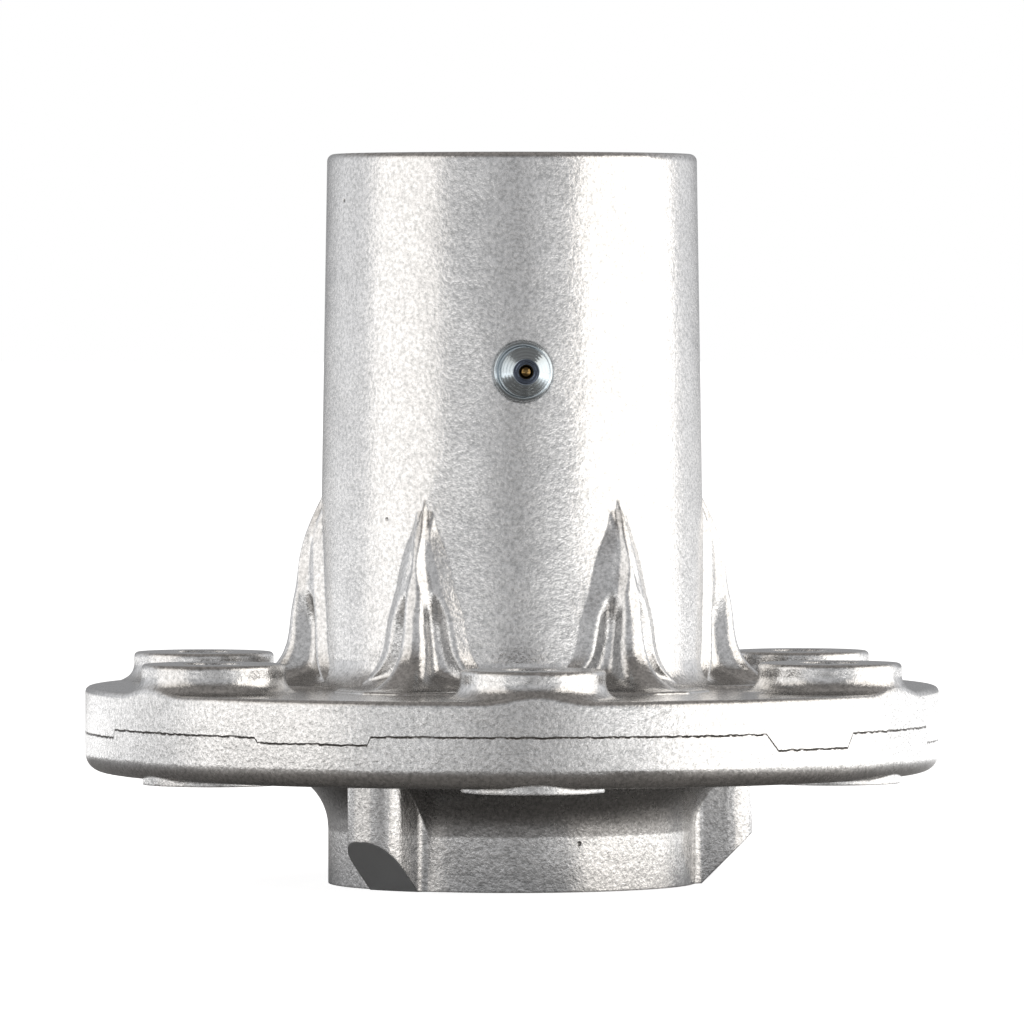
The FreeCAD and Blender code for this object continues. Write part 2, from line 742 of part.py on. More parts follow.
def cage_half(label, middle, upper):
    """A pressed band with a domed pocket over every ball and a rivet hole between them."""
    body = new_body(label)
    sheet_thickness = sheet.cage_sheet
    inner = sheet.ball_pitch_radius - sheet.cage_half_band
    outer = sheet.ball_pitch_radius + sheet.cage_half_band
    pocket = sheet.ball_radius + sheet.cage_ball_clearance
    dome = pocket + sheet_thickness
    turned(
        body,
        "band",
        [(inner, 0), (outer, 0), (outer, sheet_thickness), (inner, sheet_thickness)],
    )
    cup = feature(body, "AdditiveSphere", "cup", Radius=dome)
    bind(cup, "AttachmentOffset.Base.x", sheet.ball_pitch_radius)
    cup.AttachmentSupport = [(origin_feature(body, "XY_Plane"), "")]
    cup.MapMode = "FlatFace"
    ring_pattern(body, "cups", cup, sheet.ball_count)
    hollow = feature(body, "SubtractiveSphere", "hollow", Radius=pocket)
    bind(hollow, "AttachmentOffset.Base.x", sheet.ball_pitch_radius)
    hollow.AttachmentSupport = [(origin_feature(body, "XY_Plane"), "")]
    hollow.MapMode = "FlatFace"
    ring_pattern(body, "hollows", hollow, sheet.ball_count)
    reach = sheet.ball_pitch_radius + dome + OVERSHOOT
    turned(
        body,
        "underside_trim",
        [(0, -dome - OVERSHOOT), (reach, -dome - OVERSHOOT), (reach, 0), (0, 0)],
        kind="Groove",
    )
    turned(
        body,
        "inner_trim",
        [
            (0, -sized(OVERSHOOT)), (inner, -sized(OVERSHOOT)),
            (inner, dome + OVERSHOOT), (0, dome + OVERSHOOT),
        ],
        kind="Groove",
    )
    turned(
        body,
        "outer_trim",
        [
            (outer, -sized(OVERSHOOT)), (reach, -sized(OVERSHOOT)),
            (reach, dome + OVERSHOOT), (outer, dome + OVERSHOOT),
        ],
        kind="Groove",
    )
    between = 180.0 / sheet.ball_count.value
    circle = circle_sketch(
        body, "rivet_circle", "XY_Plane", on_circle(sheet.ball_pitch_radius, between), sheet.rivet_radius,
        sheet_thickness + OVERSHOOT,
    )
    hole = feature(body, "Pocket", "rivet_hole", Profile=circle, Length=sheet_thickness + OVERSHOOT * 2)
    ring_pattern(body, "rivet_holes", hole, sheet.ball_count)
    if not upper:
        body.Placement = FreeCAD.Placement(
            FreeCAD.Vector(0, 0, 0), FreeCAD.Rotation(FreeCAD.Vector(1, 0, 0), 180)
        )
    return lifted(body, middle)


def rivet_set(label, middle):
    members = []
    count = round(sheet.ball_count.value)
    grip = sheet.cage_sheet * 2
    for number in range(count):
        across, along = on_circle(sheet.ball_pitch_radius, (number + 0.5) * 360 / count)
        parts = []
        for part, radius, start, length in (
            ("shank", sheet.rivet_radius, -sheet.cage_sheet, grip),
            ("head", sheet.rivet_head_radius, sheet.cage_sheet, sheet.rivet_head_height),
            ("tail", sheet.rivet_head_radius, -sheet.cage_sheet - sheet.rivet_head_height,
             sheet.rivet_head_height),
        ):
            cylinder = document.addObject("Part::Cylinder", f"{label}_{part}_{number}")
            bind(cylinder, "Radius", radius)
            bind(cylinder, "Height", length)
            bind(cylinder, "Placement.Base.x", across)
            bind(cylinder, "Placement.Base.y", along)
            bind(cylinder, "Placement.Base.z", start)
            parts.append(cylinder)
        rivet = document.addObject("Part::MultiFuse", f"{label}_{number}")
        rivet.Shapes = parts
        members.append(rivet)
    return group(label, members, middle)


def seal(label, middle, upper):
    """A rubber-faced disc pressed into the outer ring, its lip just clear of the inner ring."""
    body = new_body(label)
    outer = sheet.seal_seat_radius - sheet.seat_clearance
    lip = sheet.inner_land_radius + sheet.seal_lip_clearance
    dish = sheet.seal_dish
    middle_outer = outer - sheet.seal_thickness
    middle_inner = lip + sheet.seal_thickness
    turned(
        body,
        "disc",
        [
            (lip, 0),
            (outer, 0),
            (outer, sheet.seal_thickness),
            (middle_outer, sheet.seal_thickness),
            (middle_outer - dish, sheet.seal_thickness - dish),
            (middle_inner + dish, sheet.seal_thickness - dish),
            (middle_inner, sheet.seal_thickness),
            (lip, sheet.seal_thickness),
        ],
    )
    shelf = sheet.bearing_width / 2 - sheet.seal_sink - sheet.seal_thickness
    if not upper:
        body.Placement = FreeCAD.Placement(
            FreeCAD.Vector(0, 0, 0), FreeCAD.Rotation(FreeCAD.Vector(1, 0, 0), 180)
        )
        return lifted(body, middle - shelf)
    return lifted(body, middle + shelf)


def bearing(name, middle):
    """All pieces of one bearing."""
    return [
        outer_ring(f"{name}_bearing_outer_ring", middle),
        inner_ring(f"{name}_bearing_inner_ring", middle),
        ball_set(f"{name}_bearing_balls", middle),
        cage_half(f"{name}_bearing_cage_top", middle, True),
        cage_half(f"{name}_bearing_cage_bottom", middle, False),
        rivet_set(f"{name}_bearing_cage_rivets", middle),
        seal(f"{name}_bearing_top_seal", middle, True),
        seal(f"{name}_bearing_bottom_seal", middle, False),
    ]


def spacer_sleeve():
    """The tube that holds the two inner rings apart."""
    body = new_body("spacer_sleeve")
    inner = sheet.bearing_bore_radius + sheet.sleeve_bore_clearance
    turned(
        body,
        "sleeve",
        [
            (inner, lower_seat_top),
            (sheet.sleeve_outer_radius, lower_seat_top),
            (sheet.sleeve_outer_radius, upper_seat_bottom),
            (inner, upper_seat_bottom),
        ],
    )
    return body


# Grease nipple, built along +Z from the back of its collar and then laid along -Y


def laid(item, along=0):
    """Turn a nipple piece from +Z to -Y and set it in the tube's wall."""
    item.Placement = FreeCAD.Placement(
        FreeCAD.Vector(0, 0, 0), FreeCAD.Rotation(FreeCAD.Vector(1, 0, 0), 90)
    )
    bind(item, "Placement.Base.y", -(nipple_seat_radius + along))
    bind(item, "Placement.Base.z", sheet.nipple_height)
    return item


ball_seat = sheet.nipple_length - sheet.nipple_lip
ball_setback = math.sqrt(sheet.check_ball_radius.value ** 2 - sheet.nipple_mouth_radius.value ** 2)
check_ball_middle = ball_seat - ball_setback - sheet.check_ball_clearance
passage_bottom = ball_seat - sheet.nipple_passage_length


def nipple_body():
    """Shank, collar, waisted neck and coned head, with the grease passage right through."""
    body = new_body("nipple_body")
    grip = sheet.nipple_length - sheet.nipple_head_cone
    waist = sheet.nipple_collar_width + (grip - sheet.nipple_collar_width) / 2
    cone = grip - sheet.nipple_head_land
    blank = turned(
        body,
        "turned_body",
        [
            (0, -sheet.nipple_shank_length),
            (sheet.nipple_shank_radius, -sheet.nipple_shank_length),
            (sheet.nipple_shank_radius, 0),
            (sheet.nipple_collar_radius, 0),
            (sheet.nipple_collar_radius, sheet.nipple_collar_width),
            (sheet.nipple_neck_radius, sheet.nipple_collar_width),
            (sheet.nipple_neck_radius, waist),
            (sheet.nipple_head_radius, cone),
            (sheet.nipple_head_radius, grip),
            (sheet.nipple_nose_radius, sheet.nipple_length),
            (0, sheet.nipple_length),
        ],
    )
    blank = rounded(
        body, "collar_edge", blank, sheet.nipple_collar_round,
        lambda edge: is_ring(edge, sheet.nipple_collar_radius, sheet.nipple_collar_width),
    )
    rounded(
        body, "head_edge", blank, sheet.nipple_head_round,
        lambda edge: is_ring(edge, sheet.nipple_head_radius, grip),
    )
    wide_mouth = sheet.nipple_mouth_radius + sheet.nipple_mouth_chamfer
    turned(
        body,
        "passage",
        [
            (0, -sheet.nipple_shank_length - OVERSHOOT),
            (sheet.nipple_outlet_radius, -sheet.nipple_shank_length - OVERSHOOT),
            (sheet.nipple_outlet_radius, passage_bottom),
            (sheet.nipple_passage_radius, passage_bottom),
            (sheet.nipple_passage_radius, ball_seat),
            (sheet.nipple_mouth_radius, ball_seat),
            (sheet.nipple_mouth_radius, sheet.nipple_length - sheet.nipple_mouth_chamfer),
            (wide_mouth, sheet.nipple_length),
            (wide_mouth, sheet.nipple_length + OVERSHOOT),
            (0, sheet.nipple_length + OVERSHOOT),
        ],
        kind="Groove",
    )
    return laid(body)


def nipple_ball():
    ball = document.addObject("Part::Sphere", "nipple_ball")
    ball.Label = "nipple_ball"
    bind(ball, "Radius", sheet.check_ball_radius)
    return laid(ball, check_ball_middle)


def nipple_spring():
    """The coil that pushes the check ball on to its seat."""
    wire = sheet.spring_wire_radius
    bottom = passage_bottom + wire
    length = check_ball_middle - sheet.check_ball_radius - bottom - wire
    helix = document.addObject("Part::Helix", "spring_helix")
    bind(helix, "Radius", sheet.spring_coil_radius)
    bind(helix, "Pitch", sheet.spring_pitch)
    bind(helix, "Height", length)
    section = document.addObject("Part::Circle", "spring_section")
    bind(section, "Radius", wire)
    section.Placement = FreeCAD.Placement(
        FreeCAD.Vector(0, 0, 0), FreeCAD.Rotation(FreeCAD.Vector(1, 0, 0), 90)
    )
    bind(section, "Placement.Base.x", sheet.spring_coil_radius)
    document.recompute()
    spring = document.addObject("Part::Sweep", "nipple_spring")
    spring.Label = "nipple_spring"
    spring.Sections = [section]
    spring.Spine = (helix, [f"Edge{number + 1}" for number in range(len(helix.Shape.Edges))])
    spring.Solid = True
    spring.Frenet = True
    return laid(spring, bottom)


def checked(sub_parts):
    """Stop with the names of whatever failed, before anything is written."""
    document.recompute()
    faults = []
    for item in document.Objects:
        if "Invalid" in item.State or "Error" in item.State:
            faults.append(f"{item.Name}: {item.State}")
    for part in sub_parts:
        if part.Shape.isNull() or not part.Shape.isValid() or not part.Shape.Solids:
            faults.append(f"{part.Label}: bad shape")
    if faults:
        raise RuntimeError("; ".join(faults))
    return sub_parts


def main():
    sub_parts = [housing(), spacer_sleeve(), nipple_body(), nipple_ball(), nipple_spring()]
    sub_parts += bearing("lower", lower_bearing_middle)
    sub_parts += bearing("upper", upper_bearing_middle)
    os.makedirs("parts", exist_ok=True)
    for part in checked(sub_parts):
        part.Shape.exportStep(f"parts/{part.Label}.step")
        volume = part.Shape.Volume
        print(f"{part.Label}: {len(part.Shape.Solids)} solids, {volume:.1f} cubic mm, {part.Shape.BoundBox}")


main()
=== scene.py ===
import logging
import math
from dataclasses import dataclass, field
from enum import Enum
from typing import Any

import bpy
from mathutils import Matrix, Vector


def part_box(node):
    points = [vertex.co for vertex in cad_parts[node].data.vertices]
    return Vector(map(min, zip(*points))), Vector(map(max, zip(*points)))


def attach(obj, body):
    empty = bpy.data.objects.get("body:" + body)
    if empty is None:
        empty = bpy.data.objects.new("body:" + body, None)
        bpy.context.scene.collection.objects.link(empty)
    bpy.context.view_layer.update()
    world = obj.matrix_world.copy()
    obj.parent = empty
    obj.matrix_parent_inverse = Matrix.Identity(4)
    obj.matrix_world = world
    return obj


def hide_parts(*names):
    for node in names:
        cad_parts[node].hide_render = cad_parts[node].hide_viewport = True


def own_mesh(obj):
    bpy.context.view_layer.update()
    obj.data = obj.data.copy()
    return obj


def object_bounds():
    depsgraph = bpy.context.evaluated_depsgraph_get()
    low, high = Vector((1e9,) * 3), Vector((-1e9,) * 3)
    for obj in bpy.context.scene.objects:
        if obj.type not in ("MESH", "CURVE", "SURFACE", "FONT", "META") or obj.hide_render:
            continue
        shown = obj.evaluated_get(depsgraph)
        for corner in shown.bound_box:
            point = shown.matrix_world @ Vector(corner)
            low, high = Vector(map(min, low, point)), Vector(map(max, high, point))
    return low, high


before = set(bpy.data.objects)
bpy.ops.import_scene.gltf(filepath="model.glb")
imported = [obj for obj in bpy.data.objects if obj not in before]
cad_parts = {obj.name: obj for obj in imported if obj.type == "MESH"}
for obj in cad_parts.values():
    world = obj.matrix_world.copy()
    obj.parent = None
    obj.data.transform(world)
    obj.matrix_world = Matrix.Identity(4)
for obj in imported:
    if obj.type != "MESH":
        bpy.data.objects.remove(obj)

log = logging.getLogger("mower_deck_spindle")

MM = 0.001
# The wave texture at a scale of 1 repeats about every 0.314 units
WAVE_SCALE = 0.314
# The noise texture stays between these two values nearly everywhere
NOISE_LOW = 0.3
NOISE_HIGH = 0.7
CAD_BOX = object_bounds()

Socket = bpy.types.NodeSocket
Tree = bpy.types.NodeTree
Object = bpy.types.Object


class BearingEnd(Enum):
    """The two ends of the housing that hold a bearing, as the nodes' names begin."""

    LOWER = "lower"
    UPPER = "upper"


def linear(colour: str) -> tuple[float, float, float, float]:
    """Turn an sRGB hex colour into the linear values that a shader socket takes.

    Args:
        colour: a colour such as "#c8c9cb".

    Returns:
        Red, green, blue and an alpha of 1.
    """
    channels = []
    for start in (1, 3, 5):
        value = int(colour[start : start + 2], 16) / 255
        channels.append(value / 12.92 if value <= 0.04045 else ((value + 0.055) / 1.055) ** 2.4)
    return (channels[0], channels[1], channels[2], 1.0)


def add_node(
    tree: Tree, kind: str, settings: dict[Any, Any] | None = None, **properties: Any
) -> bpy.types.Node:
    """Add a shader node, set its properties, and set or link its inputs.

    Args:
        tree: the node tree that gets the node.
        kind: the node's type without its "ShaderNode" prefix.
        settings: input name or number to a value, or to the output socket that feeds it.
        properties: the node's own properties, such as operation="MULTIPLY".

    Returns:
        The new node.
    """
    node = tree.nodes.new(f"ShaderNode{kind}")
    for name, value in properties.items():
        setattr(node, name, value)
    for name, value in (settings or {}).items():
        if isinstance(value, bpy.types.NodeSocket):
            tree.links.new(value, node.inputs[name])
        else:
            node.inputs[name].default_value = value
    return node


def new_material(name: str) -> tuple[bpy.types.Material, Tree]:
    """Start an empty node material.

    Args:
        name: the material's name.

    Returns:
        The material and its cleared node tree.
    """
    material = bpy.data.materials.new(name)
    material.use_nodes = True
    material.node_tree.nodes.clear()
    return material, material.node_tree


def dress(node: str, material: bpy.types.Material) -> None:
    """Give every material slot of a CAD node the same finish.

    Args:
        node: the CAD node's name.
        material: the finish.
    """
    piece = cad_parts[node]
    for slot in piece.material_slots:
        slot.material = material
    if not piece.material_slots:
        piece.data.materials.append(material)


@dataclass(frozen=True)
class Place:
    """Where a point of the surface is, in millimetres of the object's own coordinates.

    Args:
        metric: the whole vector.
        x: its X.
        y: its Y.
        z: its Z.
        radius: distance from the spindle's axis.
    """

    metric: Socket
    x: Socket
    y: Socket
    z: Socket
    radius: Socket

    @classmethod
    def of(cls, tree: Tree) -> "Place":
        """Add the nodes that find the place.

        Args:
            tree: the material's node tree.

        Returns:
            The sockets of the place.
        """
        own = add_node(tree, "TexCoord").outputs["Object"]
        metric = add_node(tree, "VectorMath", {0: own, "Scale": 1 / MM}, operation="SCALE").outputs[0]
        x, y, z = add_node(tree, "SeparateXYZ", {0: metric}).outputs
        squared = add_node(tree, "Math", {0: y, 1: y}, operation="MULTIPLY").outputs[0]
        squared = add_node(tree, "Math", {0: x, 1: x, 2: squared}, operation="MULTIPLY_ADD").outputs[0]
        radius = add_node(tree, "Math", {0: squared}, operation="SQRT").outputs[0]
        return cls(metric, x, y, z, radius)


@dataclass(frozen=True)
class SeamStep:
    """A place on the rim where the casting's parting line changes level.

    Args:
        azimuth: degrees round the axis from +X.
        rise: change of level in millimetres, going to larger azimuths.
        spread: degrees that the change takes.
    """

    azimuth: float
    rise: float
    spread: float = 0.25


@dataclass(frozen=True)
class BlastedCasting:
    """Cast aluminium, blasted with fine grit: pale, matt-silver, with a grainy glint.

    The grain is drawn about three times as coarse as the real grit, so that it shows at arm's length.

    Args:
        colour: tone of the metal.
        dark: tone between the grains.
        pit: painted shade in the pits and along the parting line.
        machined: tone of the turned lead-in cone on the lugs.
        grain_mm: size of the grain.
        blotch_mm: size of the soft unevenness that casting leaves.
        pit_mm: spacing of the cells that may hold a pit.
        pit_edge: share of the spacing over which a pit's edge fades.
        pit_lot: draw above which a cell holds a pit.
        roughness: mean roughness.
        roughness_span: what the grain takes from and adds to the roughness.
        shade_span: noise at which the grain is dark, and at which it has its full tone.
        blotch_span: what the unevenness makes of the tone, at least and at most.
        relief: strength of the surface's relief.
        edge_mm: how far the eye sees cast edges as rounded.
        grain_depth: height of the grain, in millimetres.
        glint_depth: height of the finest grain, in millimetres.
        blotch_depth: height of the unevenness, in millimetres.
        pit_depth: depth of the pits and of the parting line, in millimetres.
        step_depth: how far the upper half of the mould stands out, in millimetres.
        rim_radius_mm: radius of the flange's rim.
        rim_skin_mm: how deep the rim's markings reach in.
        rim_edge_mm: how far the rim's rounded edge reaches in.
        flange_top_mm: height of the flange's upper face.
        run_out_mm: height over which the ribs' feet run out on that face.
        seam_level_mm: height of the parting line where it begins.
        seam_width_mm: width of the parting line.
        seam_fade: shares of the width at which the line begins to fade and is gone.
        seam_soft_mm: height over which the step at the line rises.
        seam_wander_mm: how far the line wanders.
        seam_broken: wander at which the line and its painted shade are rubbed away, and at which they are
            whole.
        seam_faint: strength of the line and of its painted shade where it is rubbed away.
        cone_reach_mm: radius less height on the lugs' lead-in cone.
        cone_slack_mm: how far a point may lie off the cone and still be on it.
        cone_top_mm: height of the cone's upper end.
        cone_smoothing: what turning takes from the roughness.
        cone_metallic: how metallic the turned cone is.
        lug_radius_mm: radius beyond which the lugs stand clear of the neck.
        seam_steps: places where the parting line changes level.
    """

    colour: str = "#dcdbda"
    dark: str = "#b2b2b1"
    # painted shade: a dark tone for the pits and the parting line, standing in for the shade in these hollows
    pit: str = "#6e6c69"
    machined: str = "#cfd1d3"
    grain_mm: float = 0.5
    blotch_mm: float = 9.0
    pit_mm: float = 2.6
    pit_edge: tuple[float, float] = (0.05, 0.14)
    pit_lot: tuple[float, float] = (0.972, 0.985)
    roughness: float = 0.21
    roughness_span: tuple[float, float] = (-0.06, 0.08)
    shade_span: tuple[float, float] = (0.3, 0.62)
    blotch_span: tuple[float, float] = (0.93, 1.04)
    relief: float = 0.75
    edge_mm: float = 0.35
    grain_depth: float = 0.052
    glint_depth: float = 0.02
    blotch_depth: float = 0.25
    pit_depth: float = 0.12
    step_depth: float = 0.05
    rim_radius_mm: float = 58.7
    rim_skin_mm: float = 0.6
    rim_edge_mm: float = 1.6
    flange_top_mm: float = 27.15
    run_out_mm: float = 0.4
    seam_level_mm: float = 20.9
    seam_width_mm: float = 0.12
    seam_fade: tuple[float, float] = (0.5, 1.3)
    seam_soft_mm: float = 0.05
    seam_wander_mm: float = 0.5
    seam_broken: tuple[float, float] = (0.36, 0.5)
    seam_faint: float = 0.35
    cone_reach_mm: float = 26.2
    cone_slack_mm: float = 0.06
    cone_top_mm: float = 6.9
    cone_smoothing: float = 0.12
    cone_metallic: float = 0.5
    lug_radius_mm: float = 25.65
    seam_steps: tuple[SeamStep, ...] = (
        SeamStep(-159.9, 1.1),
        SeamStep(-128.7, -0.7),
        SeamStep(-112.1, 1.1),
        SeamStep(-57.1, -2.2, 1.0),
        SeamStep(-42.7, 1.9, 0.6),
        SeamStep(-19.2, -2.2),
        SeamStep(30.0, 1.3),
        SeamStep(90.0, -0.9),
        SeamStep(140.0, 0.6),
    )

    def pits(self, tree: Tree, metric: Socket) -> Socket:
        """Scatter a few blowholes over the casting.

        Args:
            tree: the material's node tree.
            metric: object coordinates in millimetres.

        Returns:
            The socket that is 1 inside a pit.
        """
        spots = add_node(tree, "TexVoronoi", {"Vector": metric, "Scale": 1 / self.pit_mm, "Randomness": 1.0})
        pit = add_node(
            tree,
            "MapRange",
            {
                "Value": spots.outputs["Distance"],
                "From Min": self.pit_edge[0],
                "From Max": self.pit_edge[1],
                "To Min": 1.0,
                "To Max": 0.0,
            },
        ).outputs[0]
        lot = add_node(tree, "SeparateColor", {0: spots.outputs["Color"]}).outputs[0]
        rare = add_node(
            tree, "MapRange", {"Value": lot, "From Min": self.pit_lot[0], "From Max": self.pit_lot[1]}
        ).outputs[0]
        return add_node(tree, "Math", {0: pit, 1: rare}, operation="MULTIPLY").outputs[0]

    def seam(self, tree: Tree, place: Place, wander: Socket) -> Socket:
        """Signed height over the parting line, in millimetres.

        Args:
            tree: the material's node tree.
            place: where the surface is.
            wander: noise about 0.5 that makes the line uneven.

        Returns:
            The socket that carries the height.
        """
        turn = add_node(tree, "Math", {0: place.y, 1: place.x}, operation="ARCTAN2").outputs[0]
        degrees = add_node(tree, "Math", {0: turn}, operation="DEGREES").outputs[0]
        level = add_node(tree, "Math", {0: place.z, 1: self.seam_level_mm}, operation="SUBTRACT").outputs[0]
        for step in self.seam_steps:
            rise = add_node(
                tree,
                "MapRange",
                {
                    "Value": degrees,
                    "From Min": step.azimuth - step.spread,
                    "From Max": step.azimuth + step.spread,
                    "To Max": step.rise,
                },
            ).outputs[0]
            level = add_node(tree, "Math", {0: level, 1: rise}, operation="SUBTRACT").outputs[0]
        uneven = add_node(tree, "Math", {0: wander, 1: 0.5}, operation="SUBTRACT").outputs[0]
        return add_node(
            tree, "Math", {0: uneven, 1: self.seam_wander_mm, 2: level}, operation="MULTIPLY_ADD"
        ).outputs[0]

    def parting(self, tree: Tree, place: Place) -> tuple[Socket, Socket]:
        """Mark the parting line on the rim and the half of the mould above it.

        Args:
            tree: the material's node tree.
            place: where the surface is.

        Returns:
            The sockets that are 1 on the line, and 1 on the rim above it.
        """
        wander = add_node(tree, "TexNoise", {"Vector": place.metric, "Scale": 1.1, "Detail": 3.0}).outputs[0]
        height = self.seam(tree, place, wander)
        off_line = add_node(tree, "Math", {0: height}, operation="ABSOLUTE").outputs[0]
        line = add_node(
            tree,
            "MapRange",
            {
                "Value": off_line,
                "From Min": self.seam_width_mm * self.seam_fade[0],
                "From Max": self.seam_width_mm * self.seam_fade[1],
                "To Min": 1.0,
                "To Max": 0.0,
            },
        ).outputs[0]
        broken = add_node(
            tree,
            "MapRange",
            {
                "Value": wander,
                "From Min": self.seam_broken[0],
                "From Max": self.seam_broken[1],
                "To Min": self.seam_faint,
                "To Max": 1.0,
            },
        ).outputs[0]
        skin = self.rim_radius_mm - self.rim_skin_mm
        on_rim = add_node(tree, "Math", {0: place.radius, 1: skin}, operation="GREATER_THAN").outputs[0]
        above = add_node(
            tree,
            "MapRange",
            {"Value": height, "From Min": -self.seam_soft_mm, "From Max": self.seam_soft_mm},
        ).outputs[0]
        line = add_node(tree, "Math", {0: line, 1: broken}, operation="MULTIPLY").outputs[0]
        line = add_node(tree, "Math", {0: line, 1: on_rim}, operation="MULTIPLY").outputs[0]
        step = add_node(tree, "Math", {0: above, 1: on_rim}, operation="MULTIPLY").outputs[0]
        return line, step

    def turned_cone(self, tree: Tree, place: Place) -> Socket:
        """Mark the lead-in cone that is turned on the lugs.

        Args:
            tree: the material's node tree.
            place: where the surface is.

        Returns:
            The socket that is 1 on the cone.
        """
        on_lug = add_node(
            tree, "Math", {0: place.radius, 1: self.lug_radius_mm}, operation="GREATER_THAN"
        ).outputs[0]
        low = add_node(tree, "Math", {0: place.z, 1: self.cone_top_mm}, operation="LESS_THAN").outputs[0]
        reach = add_node(tree, "Math", {0: place.radius, 1: place.z}, operation="SUBTRACT").outputs[0]
        on_cone = add_node(
            tree, "Math", {0: reach, 1: self.cone_reach_mm, 2: self.cone_slack_mm}, operation="COMPARE"
        ).outputs[0]
        low_lug = add_node(tree, "Math", {0: on_lug, 1: low}, operation="MULTIPLY").outputs[0]
        return add_node(tree, "Math", {0: low_lug, 1: on_cone}, operation="MULTIPLY").outputs[0]

    def edges(self, tree: Tree, place: Place) -> Socket:
        """Round the cast edges, but not where the ribs' feet run out on the flange.

        Args:
            tree: the material's node tree.
            place: where the surface is.

        Returns:
            The socket that carries the normal.
        """
        rounded = add_node(tree, "Bevel", {"Radius": self.edge_mm * MM}, samples=4).outputs[0]
        run_out = add_node(
            tree, "Math", {0: place.z, 1: self.flange_top_mm, 2: self.run_out_mm}, operation="COMPARE"
        ).outputs[0]
        edge = self.rim_radius_mm - self.rim_edge_mm
        inside = add_node(tree, "Math", {0: place.radius, 1: edge}, operation="LESS_THAN").outputs[0]
        plain = add_node(tree, "Math", {0: run_out, 1: inside}, operation="MULTIPLY").outputs[0]
        own = add_node(tree, "NewGeometry").outputs["Normal"]
        return add_node(
            tree, "Mix", {"Factor": plain, "A": rounded, "B": own}, data_type="VECTOR"
        ).outputs["Result"]

    def material(self) -> bpy.types.Material:
        """Build the casting's material.

        Returns:
            The finished material.
        """
        material, tree = new_material("blasted_cast_aluminium")
        place = Place.of(tree)
        grain = add_node(
            tree,
            "TexNoise",
            {"Vector": place.metric, "Scale": 1 / self.grain_mm, "Detail": 2.0, "Roughness": 0.6},
        ).outputs[0]
        glint = add_node(
            tree, "TexNoise", {"Vector": place.metric, "Scale": 1.7 / self.grain_mm, "Detail": 2.0}
        ).outputs[0]
        blotch = add_node(
            tree, "TexNoise", {"Vector": place.metric, "Scale": 1 / self.blotch_mm, "Detail": 4.0}
        ).outputs[0]
        line, step = self.parting(tree, place)
        pits = self.pits(tree, place.metric)
        hollow = add_node(tree, "Math", {0: pits, 1: line}, operation="MAXIMUM").outputs[0]
        turned = self.turned_cone(tree, place)

        shade = add_node(
            tree,
            "MapRange",
            {"Value": grain, "From Min": self.shade_span[0], "From Max": self.shade_span[1]},
        ).outputs[0]
        colour = add_node(
            tree,
            "Mix",
            {"Factor": shade, "A": linear(self.dark), "B": linear(self.colour)},
            data_type="RGBA",
        ).outputs["Result"]
        uneven = add_node(
            tree,
            "MapRange",
            {
                "Value": blotch,
                "From Min": NOISE_LOW,
                "From Max": NOISE_HIGH,
                "To Min": self.blotch_span[0],
                "To Max": self.blotch_span[1],
            },
        ).outputs[0]
        colour = add_node(tree, "VectorMath", {0: colour, "Scale": uneven}, operation="SCALE").outputs[0]
        # the turned cone gets its machined tone; the pits and the parting line get painted shade
        for mask, tone in ((turned, self.machined), (hollow, self.pit)):
            colour = add_node(
                tree, "Mix", {"Factor": mask, "A": colour, "B": linear(tone)}, data_type="RGBA"
            ).outputs["Result"]

        cast = add_node(tree, "Math", {0: 1.0, 1: turned}, operation="SUBTRACT").outputs[0]
        relief = add_node(tree, "Math", {0: glint, 1: self.glint_depth}, operation="MULTIPLY").outputs[0]
        relief = add_node(
            tree, "Math", {0: grain, 1: self.grain_depth, 2: relief}, operation="MULTIPLY_ADD"
        ).outputs[0]
        relief = add_node(tree, "Math", {0: relief, 1: cast}, operation="MULTIPLY").outputs[0]
        marks = ((blotch, self.blotch_depth), (hollow, -self.pit_depth), (step, self.step_depth))
        for mark, depth in marks:
            relief = add_node(
                tree, "Math", {0: mark, 1: depth, 2: relief}, operation="MULTIPLY_ADD"
            ).outputs[0]
        bump = add_node(
            tree,
            "Bump",
            {"Strength": self.relief, "Distance": MM, "Height": relief, "Normal": self.edges(tree, place)},
        ).outputs[0]
        rough = add_node(
            tree,
            "MapRange",
            {
                "Value": glint,
                "From Min": NOISE_LOW,
                "From Max": NOISE_HIGH,
                "To Min": self.roughness + self.roughness_span[0],
                "To Max": self.roughness + self.roughness_span[1],
            },
        ).outputs[0]
        rough = add_node(
            tree, "Math", {0: turned, 1: -self.cone_smoothing, 2: rough}, operation="MULTIPLY_ADD"
        ).outputs[0]
        metallic = add_node(
            tree, "Math", {0: turned, 1: self.cone_metallic - 1.0, 2: 1.0}, operation="MULTIPLY_ADD"
        ).outputs[0]
        shader = add_node(
            tree,
            "BsdfPrincipled",
            {"Base Color": colour, "Metallic": metallic, "Roughness": rough, "Normal": bump},
        )
        add_node(tree, "OutputMaterial", {"Surface": shader.outputs[0]})
        return material


